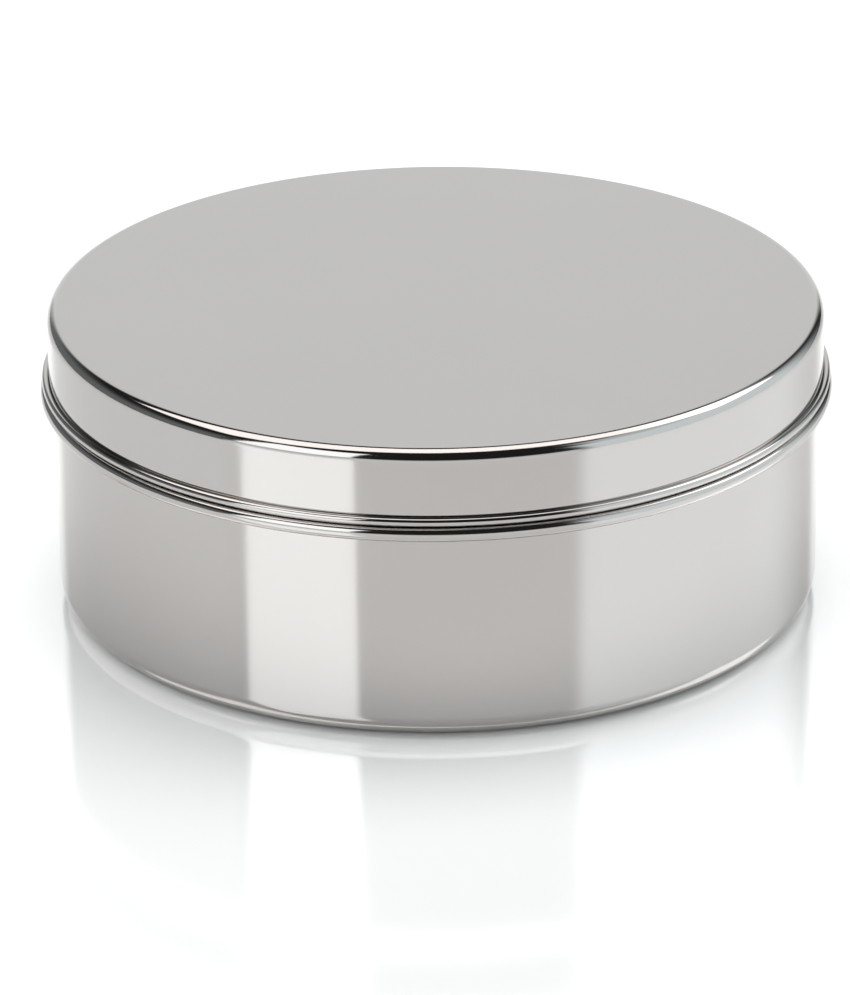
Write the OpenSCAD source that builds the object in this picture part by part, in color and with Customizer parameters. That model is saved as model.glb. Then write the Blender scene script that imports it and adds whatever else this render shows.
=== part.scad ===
// Round spice tin (masala dabba) of polished sheet steel: a slip-on lid over a
// beaded body that holds seven small cups, a flat inner lid with a folding pull
// and one spoon. Millimetres, +Z up, origin on the table under the tin's centre.

/* [Body] */
// Outside radius of the straight wall
body_r = 99.3; // [93:0.1:106]
// Height of the closed tin, from the table to the top of the lid
tin_h = 78.8; // [77:0.1:85]
// Thickness of the body, lid and inner lid sheet
sheet = 0.5; // [0.4:0.05:0.6]
// Outside bend radius where the base turns up into the wall
base_bend = 6; // [4:0.25:7]
// Height that the base panel is pressed up inside its foot ring
base_kick = 0.8; // [0.5:0.1:1.2]
// Width of the flat foot ring that the tin stands on
foot_w = 3; // [2:0.25:4]
// How far the neck under the lid is drawn in from the wall
neck_inset = 1.1; // [1:0.05:1.3]
// Radius of the rounded nose of the stop bead that the lid sits on
bead_nose = 1.95; // [1.5:0.05:2]
// How far the stop bead stands out of the wall
bead_reach = 3.7; // [3.5:0.1:4.2]
// Outside radius of the roll along the body's rim
rim_roll = 0.85; // [0.7:0.05:0.9]

/* [Lid] */
// Distance from the body wall's outside to the lid skirt's outside
skirt_step = 1.4; // [1.1:0.05:1.6]
// Height of the lid, from the top to the underside of its hem
lid_h = 19.6; // [18.6:0.1:20]
// Outside bend radius of the lid's top edge
lid_bend = 3.2; // [2.8:0.1:3.4]
// Outside radius of the rolled hem
hem_roll = 1.15; // [1:0.05:1.5]

/* [Cups] */
// Height of a cup
cup_h = 48; // [44:0.5:48]
// Thickness of a cup's sheet
cup_sheet = 0.4; // [0.3:0.05:0.5]
// Outside bend radius at the foot of a cup
cup_bend = 7; // [5:0.5:9]
// Outside radius of the roll along a cup's rim
cup_roll = 0.9; // [0.8:0.05:1]
// Clear gap between neighbouring cups
cup_gap = 0.9; // [0.8:0.05:1.2]

/* [Inner lid] */
// Height of the upturned edge
edge_h = 5.5; // [5:0.25:6.5]
// Outside bend radius at the foot of the upturned edge
edge_bend = 2; // [1.5:0.1:2.5]
// Radius of the pressed-up centre that carries the pull
boss_r = 20; // [18:0.5:22]
// Height of the pressed-up centre
boss_h = 1; // [0.8:0.1:1.2]

/* [Pull] */
// Radius of the pull ring's wire
wire_r = 1.3; // [1.1:0.05:1.4]
// Half the width of the pull ring, measured to the middle of the wire
ring_half_w = 11; // [10:0.25:12]
// Bend radius of the ring's two corners, to the middle of the wire
ring_corner = 3; // [2.5:0.1:3.5]
// Width of the strap that holds the ring
strap_w = 8; // [6:0.5:9]
// Thickness of the strap
strap_t = 0.6; // [0.5:0.05:0.7]
// Length of each welded foot of the strap
strap_foot = 4.5; // [4:0.25:5]

/* [Spoon] */
// Radius of the spoon's bowl at its rim
bowl_r = 13; // [11:0.5:14]
// Depth of the bowl, outside
bowl_h = 6.5; // [6:0.25:7]
// Thickness of the spoon's metal
spoon_t = 1; // [0.8:0.05:1.1]
// Length of the handle, from the bowl's centre
handle_l = 92; // [80:1:96]
// Width of the handle beside the bowl
neck_w = 5; // [4:0.25:6]
// Width of the handle at its round end
tail_w = 9; // [8:0.25:10]

/* [Hidden] */
CUPS = ["cup_1", "cup_2", "cup_3", "cup_4", "cup_5", "cup_6"];

// Clear gaps left under a piece that stands on another, under the spoon and under the ring
rest_gap = 0.2;
spoon_gap = 0.3;
ring_gap = 0.4;
// Clear gap between the rim of the inner lid and the neck, and of the cups and the neck
neck_play = 1.7;
// Running gap around the ring's bar in the strap
bar_play = 0.3;

// Radii of the body, its neck and the lid
neck_r = body_r - neck_inset;
lid_r = body_r + skirt_step;
foot_r = body_r - base_bend;
ramp_w = 2;
panel_r = foot_r - foot_w - ramp_w;

// How far the rolls along a rim and along the lid's hem are turned, in degrees
roll_turn = 280;
hem_turn = 295;

// Levels of the lid, the bead under it and the body's rim
lid_z = tin_h - lid_h;
hem_z = lid_z + hem_roll;
bead_top = lid_z - rest_gap;
bead_z = bead_top - bead_nose;
rim_under_lid = 1.3;
rim_z = tin_h - sheet - rim_under_lid - rim_roll;

// A centre cup with six cups round it just fits through the neck
cup_rim_r = (neck_r - sheet - neck_play - cup_gap) / 3;
cup_r = cup_rim_r - 2 * cup_roll + cup_sheet;
cup_ring_r = 2 * cup_rim_r + cup_gap;
cup_z = base_kick + sheet + rest_gap;

// Levels of the inner lid, the pull on it and the spoon on it
plate_z = cup_z + cup_h + rest_gap;
plate_top = plate_z + sheet;
boss_top = plate_top + boss_h;
boss_ramp = 2;
edge_r = neck_r - sheet - neck_play - 2 * rim_roll + sheet;
bar_z = boss_top + wire_r + ring_gap;
tunnel_r = wire_r + bar_play;
spoon_z = plate_top + spoon_gap;
spoon_at = [-42, -50];

// The spoon's handle leaves the bowl at its rim, rises to a crest and runs down to its end
root_lap = 0.8;
crest_run = 8;
crest_rise = 3;
neck_run = 6;

roll_fn = 48;
turn_fn = 240;

// Sheet bent to an arc, seen edge-on: inside radius r, from angle a to angle b
module bend(r, t, a, b) {
    steps = 8;
    reach = 1.5 * (r + t);
    intersection() {
        difference() {
            circle(r + t, $fn = roll_fn);
            circle(r, $fn = roll_fn);
        }
        polygon(concat([[0, 0]], [
            for (i = [0 : steps]) let (c = a + (b - a) * i / steps)
                reach * [cos(c), sin(c)]
        ]));
    }
}

// Straight stretch of sheet, seen edge-on, between two corners
module flat(x0, y0, x1, y1) {
    translate([x0, y0]) square([x1 - x0, y1 - y0]);
}

// Short sloping stretch of sheet that joins two levels
module ramp(x0, y0, x1, y1, t) {
    polygon([[x0, y0], [x1, y1], [x1, y1 + t], [x0, y0 + t]]);
}

// Rim rolled outwards, at the top of a wall whose outside is at radius r
module outward_roll(r, z, roll, t) {
    translate([r + roll - t, z]) bend(roll - t, t, 180 - roll_turn, 180);
}

module body() {
    color("silver") rotate_extrude($fn = turn_fn) {
        flat(0, base_kick, panel_r, base_kick + sheet);
        ramp(panel_r, base_kick, panel_r + ramp_w, 0, sheet);
        flat(panel_r + ramp_w, 0, foot_r, sheet);
        translate([foot_r, base_bend]) bend(base_bend - sheet, sheet, -90, 0);
        flat(body_r - sheet, base_bend, body_r, bead_z - bead_nose + sheet);
        stop_bead();
        flat(neck_r - sheet, bead_top - sheet, neck_r, rim_z);
        outward_roll(neck_r, rim_z, rim_roll, sheet);
    }
}

// Bead pressed out of the body wall, which the lid's hem sits on
module stop_bead() {
    nose_r = body_r + bead_reach - bead_nose;
    flat(body_r, bead_z - bead_nose, nose_r, bead_z - bead_nose + sheet);
    flat(neck_r, bead_top - sheet, nose_r, bead_top);
    translate([nose_r, bead_z]) bend(bead_nose - sheet, sheet, -90, 90);
}

module lid() {
    color("silver") rotate_extrude($fn = turn_fn) {
        flat(0, tin_h - sheet, lid_r - lid_bend, tin_h);
        translate([lid_r - lid_bend, tin_h - lid_bend])
            bend(lid_bend - sheet, sheet, 0, 90);
        flat(lid_r - sheet, hem_z, lid_r, tin_h - lid_bend);
        translate([lid_r + hem_roll - sheet, hem_z])
            bend(hem_roll - sheet, sheet, 180, 180 + hem_turn);
    }
}

module inner_lid() {
    roll_z = plate_z + edge_h - rim_roll;
    color("gainsboro") rotate_extrude($fn = turn_fn) {
        flat(0, plate_z + boss_h, boss_r, boss_top);
        ramp(boss_r, plate_z + boss_h, boss_r + boss_ramp, plate_z, sheet);
        flat(boss_r + boss_ramp, plate_z, edge_r - edge_bend, plate_top);
        translate([edge_r - edge_bend, plate_z + edge_bend])
            bend(edge_bend - sheet, sheet, -90, 0);
        flat(edge_r - sheet, plate_z + edge_bend, edge_r, roll_z);
        outward_roll(edge_r, roll_z, rim_roll, sheet);
    }
}

// Strap welded over the ring's bar: an arch with two flat feet
module pull_strap() {
    color("darkgray") rotate([90, 0, 90]) linear_extrude(strap_w, center = true) {
        translate([0, bar_z]) bend(tunnel_r, strap_t, 0, 180);
        for (side = [0, 1]) mirror([side, 0]) {
            flat(tunnel_r, boss_top, tunnel_r + strap_t, bar_z);
            flat(tunnel_r + strap_t, boss_top, tunnel_r + strap_t + strap_foot, boss_top + strap_t);
        }
    }
}

// D-shaped wire ring, lying flat, with its straight bar through the strap
module pull_ring() {
    bar_l = 2 * (ring_half_w - ring_corner);
    color("darkgray") translate([0, 0, bar_z]) {
        rotate([0, 90, 0]) cylinder(bar_l, wire_r, wire_r, center = true, $fn = roll_fn);
        for (side = [0, 1]) mirror([side, 0, 0]) translate([bar_l / 2, ring_corner, 0])
            rotate([0, 0, -90]) wire_arc(ring_corner, 90);
        translate([0, ring_corner, 0]) wire_arc(ring_half_w, 180);
    }
}

// Round wire bent to an arc about the Z axis
module wire_arc(r, angle) {
    rotate_extrude(angle = angle, $fn = turn_fn)
        translate([r, 0]) circle(wire_r, $fn = roll_fn);
}

module spoon() {
    // The bowl is a cap of a sphere that is bowl_r wide and bowl_h deep
    ball_r = (bowl_r * bowl_r + bowl_h * bowl_h) / (2 * bowl_h);
    rim_angle = asin(bowl_r / ball_r);
    color("silver") translate([spoon_at.x, spoon_at.y, spoon_z]) {
        rotate_extrude($fn = turn_fn)
            translate([0, ball_r]) bend(ball_r - spoon_t, spoon_t, -90, rim_angle - 90);
        intersection() {
            rotate([90, 0, 0]) linear_extrude(2 * bowl_r, center = true) handle_side();
            linear_extrude(bowl_h + crest_rise) handle_plan();
        }
    }
}

// Handle from the side: up out of the bowl's rim, then down to the plate
module handle_side() {
    root = [bowl_r - root_lap, bowl_h - spoon_t];
    crest = [bowl_r + crest_run, bowl_h + crest_rise];
    tail = [handle_l, 0];
    polygon([
        root, crest - [0, spoon_t], tail,
        tail + [0, spoon_t], crest, root + [0, spoon_t]
    ]);
}

// Handle from above: widening to a round end
module handle_plan() {
    neck_x = bowl_r + neck_run;
    end_x = handle_l - tail_w / 2;
    polygon([
        [0, -neck_w / 2], [neck_x, -neck_w / 2], [end_x, -tail_w / 2],
        [end_x, tail_w / 2], [neck_x, neck_w / 2], [0, neck_w / 2]
    ]);
    translate([end_x, 0]) circle(tail_w / 2, $fn = roll_fn);
}

module cup() {
    roll_z = cup_h - cup_roll;
    color("lightgray") translate([0, 0, cup_z]) rotate_extrude($fn = turn_fn) {
        flat(0, 0, cup_r - cup_bend, cup_sheet);
        translate([cup_r - cup_bend, cup_bend]) bend(cup_bend - cup_sheet, cup_sheet, -90, 0);
        flat(cup_r - cup_sheet, cup_bend, cup_r, roll_z);
        outward_roll(cup_r, roll_z, cup_roll, cup_sheet);
    }
}

module ring_cup(i) {
    rotate([0, 0, (i + 0.5) * 360 / len(CUPS)]) translate([cup_ring_r, 0, 0]) cup();
}

body();
lid();
inner_lid();
pull_strap();
pull_ring();
spoon();
cup();  // cup_centre
for (i = [0 : len(CUPS) - 1]) ring_cup(i);
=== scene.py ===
"""Round spice tin of polished sheet steel, with a slip-on lid, an inner lid with a
folding pull, a spoon and seven small cups, on a glossy white table in a studio."""

import math

import bpy
from mathutils import Matrix, Vector


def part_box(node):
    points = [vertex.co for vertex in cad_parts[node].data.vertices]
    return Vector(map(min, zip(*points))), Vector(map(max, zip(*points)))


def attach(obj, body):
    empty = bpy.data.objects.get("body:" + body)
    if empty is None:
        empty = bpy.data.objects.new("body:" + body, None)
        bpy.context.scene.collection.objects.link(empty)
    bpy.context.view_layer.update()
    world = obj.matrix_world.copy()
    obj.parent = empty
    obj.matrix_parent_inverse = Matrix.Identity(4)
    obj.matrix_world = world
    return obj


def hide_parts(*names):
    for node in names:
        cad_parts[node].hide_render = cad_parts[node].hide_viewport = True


MM = 0.001

# Sheet metal, in metres
SHEET = 0.5 * MM
CUP_SHEET = 0.4 * MM
SPOON_T = 1.0 * MM
STRAP_T = 0.6 * MM
TURN_SEGMENTS = 288
CUP_SEGMENTS = 160
ARC_STEP = 7.5  # degrees between points along a bend

# Rolls, bends and presswork, in metres: outside radii unless said otherwise
BASE_BEND = 6.0 * MM
BASE_KICK = 0.8 * MM
KICK_BEND = 0.9 * MM
KICK_INSET = 6.2 * MM  # from the end of the base bend to the start of the kick
NECK_INSET = 1.1 * MM
BEAD_NOSE = 1.95 * MM
BEAD_REACH = 3.7 * MM
BEAD_FILLET = 1.1 * MM
RIM_ROLL = 0.85 * MM
ROLL_TURN = 280
LID_BEND = 3.2 * MM
HEM_ROLL = 1.15 * MM
HEM_TURN = 295
CUP_BEND = 7.0 * MM
CUP_ROLL = 0.9 * MM
PLATE_BEND = 2.0 * MM
BOSS_R = 20.0 * MM
BOSS_H = 1.0 * MM
BOSS_BEND = 1.0 * MM
STIFFENER_IN_R = 74.0 * MM
STIFFENER_OUT_R = 79.0 * MM
STIFFENER_H = 0.7 * MM
STIFFENER_BEND = 0.8 * MM
REST_GAP = 0.2 * MM

# Radii of the rings of points that part the flat middles, in metres
PANEL_IN_R = 12.0 * MM
PANEL_OUT_R = 40.0 * MM
BOSS_IN_R = 8.0 * MM
CUP_IN_R = 6.0 * MM

# Pull, in metres
WIRE_R = 1.3 * MM
WIRE_SIDES = 20
BAR_PLAY = 0.3 * MM
RING_CORNER = 3.0 * MM
STRAP_FILLET = 0.5 * MM

# Spoon, in metres unless said otherwise
SPOON_DEPTH = 6.0 * MM
SPOON_NECK = 2.4 * MM  # half the handle's width at the bowl
SPOON_TAIL = 4.4 * MM  # half its width at the far end
SPOON_JOIN = 1.5 * MM  # from the bowl to where the handle starts to widen
SPOON_BLEND = 2.2 * MM  # least half width of the bowl that blends into the handle
SPOON_LIP = 0.4 * MM
SPOON_RIDGE = 0.35 * MM
BOWL_FULL = 0.62  # roundness of the bowl, from 0 for flat to 1 for a half sphere
LIP_FROM = 1.75  # bowl radii from the tip to where the lip starts to rise
RIDGE_FROM = 0.10  # share of the handle over which its ridge rises
CREST_AT = 0.2  # share of the handle before its highest point

# Camera, in metres and degrees
CAM_PLACE = (-0.0032, -1.5416, 0.6939)
CAM_PITCH = 23.52
CAM_ROLL = -0.59
CAM_LENS = 231.7
SENSOR = 36.0

# Steel colours, and the scales of the noise in their marks, waviness and smudges
STEEL = (0.518, 0.493, 0.479)
PULL_STEEL = (0.60, 0.59, 0.58)
MARKS_ROUND = (14, 2600, 1)
MARKS_ALONG = (20, 900, 900)
SMUDGE_SCALE = 14.0
WAVE_SCALE = 9.0
WAVE_STRENGTH = 0.25
WAVE_DEPTH = 0.4 * MM
MARK_DEPTH = 0.01 * MM
DARKER_TONE = 0.96

# Table: half its side and its drop below the tin in metres, and its gloss
TABLE_HALF = 4.0
TABLE_DROP = 0.02 * MM
TABLE_WHITE = 0.95
TABLE_GLOSS = 0.37
TABLE_ROUGHNESS = 0.10

# Levels of the patches of light round the table, as the polished steel mirrors them
DARK = 0.02
PAPER = 0.97
OVERHEAD = 1.9
CARD = 2.0
BOX = 1.12
BOX_TOP = 0.8
WALL = 0.2
LOW_FRONT = 0.9
BELOW = -30  # how low the patches reach under the horizon, in degrees
OVERHEAD_LEAN = 0.32

# Tints of the patches
PLAIN = (0.968, 1.0, 1.005)
COOL = (0.95, 1.0, 1.01)
SIDE = (0.90, 1.0, 1.03)
WARM = (1.03, 1.0, 0.98)

# Lamps that only the table's white scatters: watts, and watts a square metre for the dome
FILL_FRONT = 1.0
FILL_OVER = 0.7
FILL_LEFT = 0.9
FILL_RIGHT = 0.3
FILL_TINT = (0.88, 0.98, 1.0)
DOME = 0.9
DOME_ANGLE = 170

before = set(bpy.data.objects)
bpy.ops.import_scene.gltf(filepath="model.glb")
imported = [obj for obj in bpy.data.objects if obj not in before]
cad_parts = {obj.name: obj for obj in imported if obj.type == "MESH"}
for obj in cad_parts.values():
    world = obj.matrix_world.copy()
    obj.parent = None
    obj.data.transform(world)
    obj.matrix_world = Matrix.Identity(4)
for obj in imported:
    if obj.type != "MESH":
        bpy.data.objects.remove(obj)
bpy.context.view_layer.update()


# ---------------------------------------------------------------- sheet metal

class Strip:
    """Middle line of a bent strip of sheet, seen edge-on, drawn like a turtle.

    Each point keeps its heading, so both faces get exact normals."""

    def __init__(self, x, y, heading=0.0):
        self.x, self.y, self.heading = x, y, heading
        self.points = []
        self._add()

    def _add(self):
        self.points.append((self.x, self.y, self.heading))

    def go(self, length, parts=1):
        for _ in range(parts):
            self.x += length / parts * math.cos(math.radians(self.heading))
            self.y += length / parts * math.sin(math.radians(self.heading))
            self._add()
        return self

    def to_x(self, x, parts=1):
        return self.go((x - self.x) / math.cos(math.radians(self.heading)), parts)

    def to_y(self, y, parts=1):
        return self.go((y - self.y) / math.sin(math.radians(self.heading)), parts)

    def turn(self, radius, angle):
        """Bends left by angle degrees, or right if it is negative."""
        steps = max(2, math.ceil(abs(angle) / ARC_STEP))
        side = math.copysign(90, angle)
        h = math.radians(self.heading + side)
        cx, cy = self.x + radius * math.cos(h), self.y + radius * math.sin(h)
        for _ in range(steps):
            self.heading += angle / steps
            h = math.radians(self.heading - side)
            self.x, self.y = cx + radius * math.cos(h), cy + radius * math.sin(h)
            self._add()
        return self

    def step(self, rise, radius, slope=40):
        """Presses a soft step up (or down, if negative) into a level stretch."""
        slope = math.copysign(slope, rise)
        bend_rise = 2 * radius * (1 - math.cos(math.radians(slope)))
        run = (abs(rise) - bend_rise) / math.sin(math.radians(abs(slope)))
        self.turn(radius, slope).go(max(run, 0.0)).turn(radius, -slope)
        return self

    def faces(self, thickness):
        """Points and normals of the strip's left face and right face."""
        left, right = [], []
        for x, y, heading in self.points:
            h = math.radians(heading + 90)
            nx, ny = math.cos(h), math.sin(h)
            half = thickness / 2
            left.append((x + nx * half, y + ny * half, nx, ny))
            right.append((x - nx * half, y - ny * half, -nx, -ny))
        return left, right


def new_object(name, verts, faces, normals=None, uvs=None):
    mesh = bpy.data.meshes.new(name)
    mesh.from_pydata(verts, [], faces)
    mesh.polygons.foreach_set("use_smooth", [True] * len(mesh.polygons))
    if uvs:
        layer = mesh.uv_layers.new(name="run")
        layer.data.foreach_set("uv", [c for face in uvs for uv in face for c in uv])
    mesh.update()
    if normals:
        mesh.normals_split_custom_set_from_vertices(normals)
    piece = bpy.data.objects.new(name, mesh)
    bpy.context.scene.collection.objects.link(piece)
    return piece


def turned(name, strip, thickness, segments=TURN_SEGMENTS):
    """A round piece of sheet: the strip turned about the Z axis."""
    left, right = strip.faces(thickness)
    outline = left + right[::-1]
    run = [0.0]
    for a, b in zip(outline, outline[1:]):
        run.append(run[-1] + math.dist(a[:2], b[:2]))
    rows, verts, normals = [], [], []
    for r, z, nr, nz in outline:
        if r < 1e-6:
            rows.append([len(verts)] * segments)
            verts.append((0.0, 0.0, z))
            normals.append((0.0, 0.0, nz))
            continue
        rows.append(range(len(verts), len(verts) + segments))
        for k in range(segments):
            a = 2 * math.pi * k / segments
            c, s = math.cos(a), math.sin(a)
            verts.append((r * c, r * s, z))
            normals.append((nr * c, nr * s, nz))
    faces, uvs = [], []
    for i in range(len(rows) - 1):
        for k in range(segments):
            n = (k + 1) % segments
            corners = [(rows[i][k], k, i), (rows[i + 1][k], k, i + 1),
                       (rows[i + 1][n], k + 1, i + 1), (rows[i][n], k + 1, i)]
            seen, face, uv = set(), [], []
            for vert, col, row in corners:
                if vert not in seen:
                    seen.add(vert)
                    face.append(vert)
                    uv.append((col / segments, run[row]))
            faces.append(face)
            uvs.append(uv)
    return new_object(name, verts, faces, normals, uvs)


def outward_roll(strip, roll, thickness):
    return strip.turn(roll - thickness / 2, -ROLL_TURN)


def half_width(node):
    low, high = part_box(node)
    return (high[0] - low[0]) / 2


def body_shell():
    low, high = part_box("body")
    bead_r = half_width("body")
    wall = bead_r - BEAD_REACH
    neck = wall - NECK_INSET
    half = SHEET / 2
    foot = wall - BASE_BEND
    bead_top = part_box("lid")[0][2] - REST_GAP
    bead_low = bead_top - 2 * BEAD_NOSE
    s = Strip(0, low[2] + BASE_KICK + half)
    s.to_x(PANEL_IN_R).to_x(PANEL_OUT_R).to_x(foot - KICK_INSET, 3)
    s.step(-BASE_KICK, KICK_BEND).to_x(foot)
    s.turn(BASE_BEND - half, 90)
    s.to_y(bead_low + half - BEAD_FILLET, 4)
    s.turn(BEAD_FILLET, -90).to_x(bead_r - BEAD_NOSE)
    s.turn(BEAD_NOSE - half, 180).to_x(neck - half + BEAD_FILLET)
    s.turn(BEAD_FILLET, -90).to_y(high[2] - RIM_ROLL, 2)
    outward_roll(s, RIM_ROLL, SHEET)
    return turned("body_shell", s, SHEET)


def lid_shell():
    low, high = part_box("lid")
    half = SHEET / 2
    skirt = half_width("lid") - 2 * HEM_ROLL + SHEET
    s = Strip(0, high[2] - half)
    s.to_x(PANEL_IN_R).to_x(PANEL_OUT_R).to_x(skirt - LID_BEND, 3)
    s.turn(LID_BEND - half, -90)
    s.to_y(low[2] + HEM_ROLL, 3)
    s.turn(HEM_ROLL - half, HEM_TURN)
    return turned("lid_shell", s, SHEET)


def inner_lid_plate():
    low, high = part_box("inner_lid")
    half = SHEET / 2
    edge = half_width("inner_lid") - 2 * RIM_ROLL + SHEET
    s = Strip(0, low[2] + BOSS_H + half)
    s.to_x(BOSS_IN_R).to_x(BOSS_R)
    s.step(-BOSS_H, BOSS_BEND).to_x(STIFFENER_IN_R, 3)
    s.step(STIFFENER_H, STIFFENER_BEND).to_x(STIFFENER_OUT_R)
    s.step(-STIFFENER_H, STIFFENER_BEND)
    s.to_x(edge - PLATE_BEND)
    s.turn(PLATE_BEND - half, 90).to_y(high[2] - RIM_ROLL)
    outward_roll(s, RIM_ROLL, SHEET)
    return turned("inner_lid_plate", s, SHEET)


def cup_shell(node):
    low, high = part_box(node)
    wall = half_width(node) - 2 * CUP_ROLL + CUP_SHEET
    half = CUP_SHEET / 2
    s = Strip(0, half)
    s.to_x(CUP_IN_R).to_x(wall - CUP_BEND, 2)
    s.turn(CUP_BEND - half, 90).to_y(high[2] - low[2] - CUP_ROLL, 3)
    outward_roll(s, CUP_ROLL, CUP_SHEET)
    piece = turned(node + "_shell", s, CUP_SHEET, segments=CUP_SEGMENTS)
    piece.location = ((low[0] + high[0]) / 2, (low[1] + high[1]) / 2, low[2])
    return piece


# ---------------------------------------------------------------- pull and spoon

def soften(piece, width, segments):
    """Rounds the sharp edges of a piece."""
    bevel = piece.modifiers.new("edges", "BEVEL")
    bevel.width = width
    bevel.segments = segments
    bevel.limit_method = "ANGLE"
    bevel.angle_limit = math.radians(50)


def swept(name, path, ring):
    """A solid that carries a ring of (sideways, up) points round a closed level path.

    path holds (x, y, heading in degrees)."""
    verts, faces = [], []
    count = len(ring)
    for x, y, heading in path:
        h = math.radians(heading - 90)
        for side, up in ring:
            verts.append((x + side * math.cos(h), y + side * math.sin(h), up))
    for i in range(len(path)):
        a, b = i * count, ((i + 1) % len(path)) * count
        for k in range(count):
            n = (k + 1) % count
            faces.append([a + k, a + n, b + n, b + k])
    return new_object(name, verts, faces)


def pull_ring_wire():
    low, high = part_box("pull_ring")
    half_w = (high[0] - low[0]) / 2 - WIRE_R
    bar_z = (low[2] + high[2]) / 2
    bar_half = half_w - RING_CORNER
    s = Strip(-bar_half, 0.0)
    s.go(2 * bar_half, 8).turn(RING_CORNER, 90).turn(half_w, 180).turn(RING_CORNER, 90)
    angles = [2 * math.pi * k / WIRE_SIDES for k in range(WIRE_SIDES)]
    ring = [(WIRE_R * math.cos(a), WIRE_R * math.sin(a)) for a in angles]
    piece = swept("pull_ring_wire", s.points[:-1], ring)
    piece.location.z = bar_z
    return piece


def pull_strap_band():
    low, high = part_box("pull_strap")
    bar_z = sum(corner[2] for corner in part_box("pull_ring")) / 2
    half = STRAP_T / 2
    arch = WIRE_R + BAR_PLAY + half
    foot_z = low[2] + half
    s = Strip(low[1], foot_z)
    s.to_x(-arch - STRAP_FILLET, 6).turn(STRAP_FILLET, 90).to_y(bar_z).turn(arch, -180)
    s.to_y(foot_z + STRAP_FILLET).turn(STRAP_FILLET, 90).to_x(high[1], 6)
    left, right = s.faces(STRAP_T)
    half_w = (high[0] - low[0]) / 2
    verts, faces = [], []
    for face in (left, right):
        for x in (-half_w, half_w):
            verts += [(x, y, z) for y, z, _, _ in face]
    count = len(left)
    for i in range(count - 1):
        top, bottom = i, i + 2 * count
        faces += [[top, top + 1, top + 1 + count, top + count],
                  [bottom, bottom + count, bottom + count + 1, bottom + 1],
                  [top, bottom, bottom + 1, top + 1],
                  [top + count, top + count + 1, bottom + count + 1, bottom + count]]
    last = count - 1
    faces += [[0, count, 3 * count, 2 * count],
              [last, last + 2 * count, last + 3 * count, last + count]]
    piece = new_object("pull_strap_band", verts, faces)
    soften(piece, 0.15 * MM, 2)
    return piece


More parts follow.
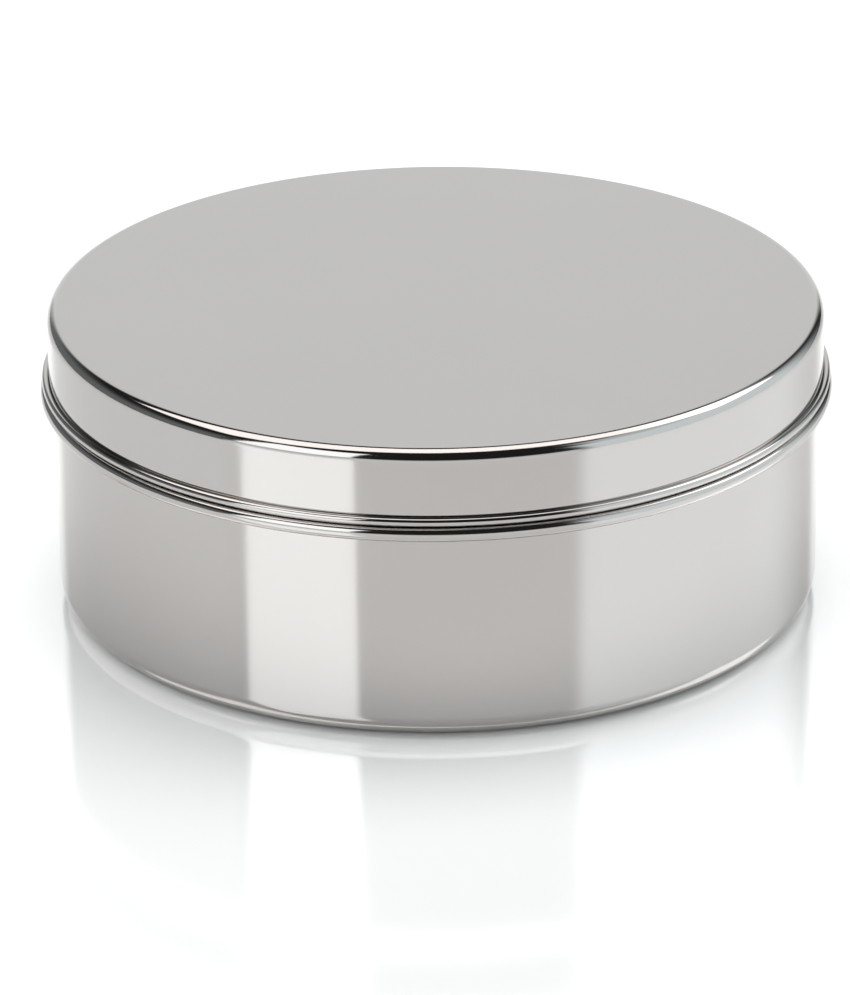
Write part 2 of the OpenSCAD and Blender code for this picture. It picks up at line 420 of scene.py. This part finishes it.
def spoon_sheet():
    low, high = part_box("spoon")
    bowl_r = (high[1] - low[1]) / 2
    centre = Vector((low[0] + bowl_r, (low[1] + high[1]) / 2, low[2]))
    length = high[0] - low[0]
    crest = high[2] - low[2] - SPOON_T
    join = 2 * bowl_r + SPOON_JOIN

    def half_at(d):
        """Half the width at a distance d from the bowl's tip."""
        bowl = math.sqrt(max(0.0, 1 - ((d - bowl_r) / bowl_r) ** 2)) * bowl_r if d < 2 * bowl_r else 0
        f = min(1.0, max(0.0, (d - join) / (length - join)))
        handle = SPOON_NECK + (SPOON_TAIL - SPOON_NECK) * f ** 1.5
        end = length - d
        if end < SPOON_TAIL:
            handle = math.sqrt(max(0.0, 1 - ((SPOON_TAIL - end) / SPOON_TAIL) ** 2)) * SPOON_TAIL
        if d < bowl_r:
            return bowl
        return (bowl ** 4 + handle ** 4) ** 0.25 if bowl > SPOON_BLEND else max(bowl, handle)

    def height_at(d, across):
        """Height of the upper face above the spoon's lowest point."""
        x = (d - bowl_r) / bowl_r
        y = across / bowl_r
        inside = min(1.0, x * x + y * y)
        hollow = (1 - math.sqrt(1 - BOWL_FULL * inside)) / (1 - math.sqrt(1 - BOWL_FULL))
        bowl = SPOON_T + SPOON_DEPTH * hollow
        if d < 2 * bowl_r:
            rim = min(1.0, max(0.0, (d - LIP_FROM * bowl_r) / ((2 - LIP_FROM) * bowl_r)))
            return bowl + rim * rim * SPOON_LIP
        f = (d - 2 * bowl_r) / (length - 2 * bowl_r)
        rise = math.exp(-((f - RIDGE_FROM) / RIDGE_FROM) ** 2) if f < RIDGE_FROM else 1.0
        top = SPOON_T + SPOON_DEPTH + SPOON_LIP
        up = top + (crest + SPOON_T - top) * math.sin(math.pi * min(f / CREST_AT, 1.0) / 2)
        down = 1 - max(0.0, (f - CREST_AT) / (1 - CREST_AT)) ** 1.2
        ridge = SPOON_RIDGE * (1 - min(1.0, abs(across) / SPOON_NECK) ** 2)
        return SPOON_T + (up - SPOON_T) * down + ridge * rise

    # Distances from the bowl's tip of the rows of points, closer together at both ends
    stations = [0.15 * MM, 0.6 * MM, 1.3 * MM, 2.4 * MM]
    bowl_rows, handle_rows = 22, 44
    stations += [bowl_r * 2 * k / bowl_rows for k in range(3, bowl_rows + 1)]
    stations += [2 * bowl_r + (length - 2 * bowl_r) * k / handle_rows for k in range(1, handle_rows)]
    stations += [length - 1.2 * MM, length - 0.5 * MM, length - 0.12 * MM]
    stations.sort()
    across_n = 12
    grid = []
    for d in stations:
        half = half_at(d)
        row = []
        for k in range(across_n + 1):
            y = half * math.sin(math.pi / 2 * (2 * k / across_n - 1))
            row.append(Vector((d - bowl_r, y, height_at(d, y))))
        grid.append(row)
    rows, cols = len(grid), across_n + 1
    verts, faces = [], []
    for face_sign in (0, 1):
        for i in range(rows):
            for k in range(cols):
                along = grid[min(i + 1, rows - 1)][k] - grid[max(i - 1, 0)][k]
                side = grid[i][min(k + 1, cols - 1)] - grid[i][max(k - 1, 0)]
                normal = along.cross(side).normalized()
                verts.append(centre + grid[i][k] - normal * SPOON_T * face_sign)
    size = rows * cols
    for i in range(rows - 1):
        for k in range(cols - 1):
            a = i * cols + k
            quad = [a, a + 1, a + cols + 1, a + cols]
            faces.append(quad[::-1])
            faces.append([v + size for v in quad])
    rim = [i * cols for i in range(rows)] + [(rows - 1) * cols + k for k in range(1, cols)]
    rim += [i * cols + cols - 1 for i in range(rows - 2, -1, -1)] + [k for k in range(cols - 2, 0, -1)]
    for a, b in zip(rim, rim[1:] + rim[:1]):
        faces.append([a, b, b + size, a + size])
    piece = new_object("spoon_sheet", verts, faces)
    soften(piece, 0.3 * MM, 3)
    return piece


# ---------------------------------------------------------------- materials

def add(tree, kind, links=None, **settings):
    """A new node with its settings and its inputs linked or set."""
    node = tree.nodes.new("ShaderNode" + kind)
    for key, value in settings.items():
        setattr(node, key, value)
    for key, value in (links or {}).items():
        socket = node.inputs[key]
        if isinstance(value, bpy.types.NodeSocket):
            tree.links.new(value, socket)
        else:
            socket.default_value = value
    return node


def polished_steel(name, colour, roughness, marks=0.10, smudge=0.05, along=False):
    """Polished sheet: fine marks round or along it, a faint waviness and light smudges."""
    material = bpy.data.materials.new(name)
    material.use_nodes = True
    tree = material.node_tree
    shader = tree.nodes["Principled BSDF"]
    place = add(tree, "TexCoord")
    uv, obj = place.outputs["UV"], place.outputs["Object"]
    if along:
        stretched = add(tree, "Mapping", {"Vector": obj, "Scale": MARKS_ALONG}).outputs[0]
    else:
        stretched = add(tree, "Mapping", {"Vector": uv, "Scale": MARKS_ROUND}).outputs[0]
    lines = add(tree, "TexNoise", {"Vector": stretched, "Scale": 1.0, "Detail": 4.0, "Roughness": 0.7})
    clouds = add(tree, "TexNoise", {"Vector": obj, "Scale": SMUDGE_SCALE, "Detail": 3.0, "Roughness": 0.55})
    slow = add(tree, "TexNoise", {"Vector": obj, "Scale": WAVE_SCALE, "Detail": 1.0, "Roughness": 0.4})

    tone = add(tree, "Mix", data_type="RGBA")
    tone.inputs[6].default_value = (*[c * DARKER_TONE for c in colour], 1)
    tone.inputs[7].default_value = (*colour, 1)
    tree.links.new(clouds.outputs["Fac"], tone.inputs[0])
    tree.links.new(tone.outputs[2], shader.inputs["Base Color"])

    haze = add(tree, "MapRange", {"Value": clouds.outputs["Fac"], "From Min": 0.35, "From Max": 0.75,
                                  "To Min": roughness, "To Max": roughness + smudge})
    fine = add(tree, "MapRange", {"Value": lines.outputs["Fac"], "From Min": 0.3, "From Max": 0.7,
                                  "To Min": 0.0, "To Max": marks * 0.3})
    rough = add(tree, "Math", operation="ADD")
    tree.links.new(haze.outputs[0], rough.inputs[0])
    tree.links.new(fine.outputs[0], rough.inputs[1])
    tree.links.new(rough.outputs[0], shader.inputs["Roughness"])

    broad = add(tree, "Bump", {"Height": slow.outputs["Fac"], "Strength": WAVE_STRENGTH,
                               "Distance": WAVE_DEPTH})
    bump = add(tree, "Bump", {"Height": lines.outputs["Fac"], "Strength": marks, "Distance": MARK_DEPTH,
                              "Normal": broad.outputs[0]})
    tree.links.new(bump.outputs[0], shader.inputs["Normal"])
    shader.inputs["Metallic"].default_value = 1.0
    return material


def give(piece, material):
    piece.data.materials.clear()
    piece.data.materials.append(material)


# ---------------------------------------------------------------- the tin

lid_steel = polished_steel("lid_steel", STEEL, roughness=0.05)
body_steel = polished_steel("body_steel", STEEL, roughness=0.05)
plate_steel = polished_steel("inner_lid_steel", STEEL, roughness=0.09, marks=0.3, smudge=0.08)
cup_steel = polished_steel("cup_steel", STEEL, roughness=0.10, marks=0.3, smudge=0.06)
pull_steel = polished_steel("pull_steel", PULL_STEEL, roughness=0.12, along=True)
spoon_steel = polished_steel("spoon_steel", STEEL, roughness=0.10, marks=0.25, along=True)

CUPS = ["cup_centre"] + ["cup_%d" % n for n in range(1, 7)]
PIECES = [
    (body_shell(), "body", "body", body_steel, "body_steel"),
    (lid_shell(), "lid", "lid", lid_steel, "lid_steel"),
    (inner_lid_plate(), "inner_lid", "inner_lid", plate_steel, "inner_lid_steel"),
    (pull_strap_band(), "inner_lid", "pull_strap", pull_steel, "pull_steel"),
    (pull_ring_wire(), "pull_ring", "pull_ring", pull_steel, "pull_steel"),
    (spoon_sheet(), "spoon", "spoon", spoon_steel, "spoon_steel"),
]
PIECES += [(cup_shell(cup), cup, cup, cup_steel, "cup_steel") for cup in CUPS]
for piece, body, node, material, slot in PIECES:
    give(piece, material)
    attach(piece, body)
    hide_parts(node)


# ---------------------------------------------------------------- studio

def table():
    corners = [(-1, -1), (1, -1), (1, 1), (-1, 1)]
    verts = [(x * TABLE_HALF, y * TABLE_HALF, -TABLE_DROP) for x, y in corners]
    floor = new_object("table", verts, [[0, 1, 2, 3]])
    material = bpy.data.materials.new("table_gloss")
    material.use_nodes = True
    tree = material.node_tree
    tree.nodes.clear()
    white = add(tree, "BsdfDiffuse", {"Color": (TABLE_WHITE, TABLE_WHITE, TABLE_WHITE, 1)})
    gloss = add(tree, "BsdfAnisotropic", {"Color": (1, 1, 1, 1), "Roughness": TABLE_ROUGHNESS})
    mixed = add(tree, "MixShader", {0: TABLE_GLOSS, 1: white.outputs[0], 2: gloss.outputs[0]})
    add(tree, "OutputMaterial", {"Surface": mixed.outputs[0]})
    give(floor, material)


def studio_light():
    """White cards and boxes of light round the table, as a world of soft-edged patches."""
    world = bpy.data.worlds.new("studio")
    bpy.context.scene.world = world
    world.use_nodes = True
    tree = world.node_tree
    tree.nodes.clear()

    def math_node(operation, a, b=None):
        links = {0: a} if b is None else {0: a, 1: b}
        return add(tree, "Math", links, operation=operation).outputs[0]

    def rise(value, at, soft):
        return add(tree, "MapRange", {"Value": value, "From Min": at - soft, "From Max": at + soft},
                   interpolation_type="SMOOTHSTEP").outputs[0]

    def between(value, low, high, soft):
        up = rise(value, low, soft)
        down = math_node("SUBTRACT", 1.0, rise(value, high, soft))
        return math_node("MULTIPLY", up, down)

    def patch(mask_a, mask_b, level, tint):
        strength = math_node("MULTIPLY", math_node("MULTIPLY", mask_a, mask_b), level)
        return add(tree, "VectorMath", {0: tint, "Scale": strength}, operation="SCALE").outputs[0]

    parts = add(tree, "SeparateXYZ", {"Vector": add(tree, "TexCoord").outputs["Generated"]})
    x, y, z = parts.outputs
    # Bearing from the table's front edge (-Y), positive towards +X, and height above the horizon
    front = math_node("MULTIPLY", y, -1.0)
    bearing = math_node("DEGREES", math_node("ARCTAN2", x, front))
    height = math_node("DEGREES", math_node("ARCSINE", z))
    away = math_node("ABSOLUTE", bearing)
    # Where a ray meets a ceiling one unit up
    up = math_node("MAXIMUM", z, 0.001)
    over_x = math_node("DIVIDE", x, up)
    over_y = math_node("DIVIDE", y, up)
    # The overhead box's edges run away from the camera on the right
    lean = math_node("MULTIPLY", math_node("MAXIMUM", over_x, 0.0), OVERHEAD_LEAN)
    over_edge = math_node("SUBTRACT", over_y, lean)

    # The right-hand box starts sharply and fades out towards the back
    box_span = math_node("SUBTRACT", rise(bearing, 43, 3), rise(bearing, 134, 19))
    # Spans in degrees, or in heights of the ceiling for the overhead box, with their softness last
    paper = patch(rise(away, 157, 6), between(height, BELOW, 40, 3), PAPER, PLAIN)
    overhead = patch(between(over_x, -0.9, 1.4, 0.05), between(over_edge, -0.2, 0.64, 0.02), OVERHEAD, WARM)
    card = patch(between(bearing, -59.3, -24.4, 0.5), between(height, 10.5, 50, 2), CARD, COOL)
    box = patch(box_span, between(height, BELOW, 40, 5), BOX, SIDE)
    box_top = patch(between(bearing, 52, 150, 4), between(height, 40, 57, 5), BOX_TOP, SIDE)
    wall = patch(between(bearing, -157, -64, 3), between(height, BELOW, 26, 12), WALL, SIDE)
    low_front = patch(between(bearing, -62, 41, 2), between(height, BELOW, 9, 2), LOW_FRONT, COOL)
    total = (DARK, DARK, DARK)
    for item in (paper, overhead, card, box, box_top, wall, low_front):
        total = add(tree, "VectorMath", {0: item, 1: total}, operation="ADD").outputs[0]
    lit = add(tree, "Background", {"Strength": 1.0, "Color": total})
    seen = add(tree, "Background", {"Strength": 1.0, "Color": (1, 1, 1, 1)})
    by_camera = add(tree, "LightPath").outputs["Is Camera Ray"]
    shown = add(tree, "MixShader", {0: by_camera, 1: lit.outputs[0], 2: seen.outputs[0]})
    add(tree, "OutputWorld", {"Surface": shown.outputs[0]})


def hidden_lamp(name, data):
    """A lamp that neither the camera nor anything glossy sees, so only the table's white shows it."""
    lamp = bpy.data.objects.new(name, data)
    lamp.visible_glossy = False
    lamp.visible_camera = False
    bpy.context.scene.collection.objects.link(lamp)
    return lamp


def fill_light(name, place, aim, size, power, tint=(1, 1, 1)):
    """A round soft lamp at a place, turned to an aim."""
    data = bpy.data.lights.new(name, "AREA")
    data.shape = "DISK"
    data.size = size
    data.energy = power
    data.color = tint
    lamp = hidden_lamp(name, data)
    lamp.location = place
    lamp.rotation_euler = (Vector(aim) - Vector(place)).to_track_quat("-Z", "Y").to_euler()


def dome_light(energy):
    """An even light from the whole sky."""
    data = bpy.data.lights.new("dome", "SUN")
    data.angle = math.radians(DOME_ANGLE)
    data.energy = energy
    hidden_lamp("dome", data)


def camera():
    data = bpy.data.cameras.new("camera")
    data.lens = CAM_LENS
    data.sensor_width = SENSOR
    data.clip_start = 0.01
    data.clip_end = 50
    cam = bpy.data.objects.new("camera", data)
    bpy.context.scene.collection.objects.link(cam)
    pitch = Matrix.Rotation(math.radians(90 - CAM_PITCH), 4, "X")
    roll = Matrix.Rotation(math.radians(CAM_ROLL), 4, "Z")
    cam.matrix_world = Matrix.Translation(CAM_PLACE) @ pitch @ roll
    bpy.context.scene.camera = cam


table()
studio_light()
fill_light("fill_front", (0.0, -1.0, 0.4), aim=(0.0, -0.1, 0.0), size=0.5, power=FILL_FRONT)
fill_light("fill_over", (0.0, 0.0, 0.45), aim=(0.0, 0.0, 0.0), size=0.4, power=FILL_OVER)
fill_light("fill_left", (-0.55, -0.15, 0.4), aim=(-0.15, 0.0, 0.0), size=0.4, power=FILL_LEFT,
           tint=FILL_TINT)
fill_light("fill_right", (0.55, -0.15, 0.4), aim=(0.15, 0.0, 0.0), size=0.4, power=FILL_RIGHT,
           tint=FILL_TINT)
dome_light(DOME)
camera()
bpy.context.scene.view_settings.view_transform = "Standard"
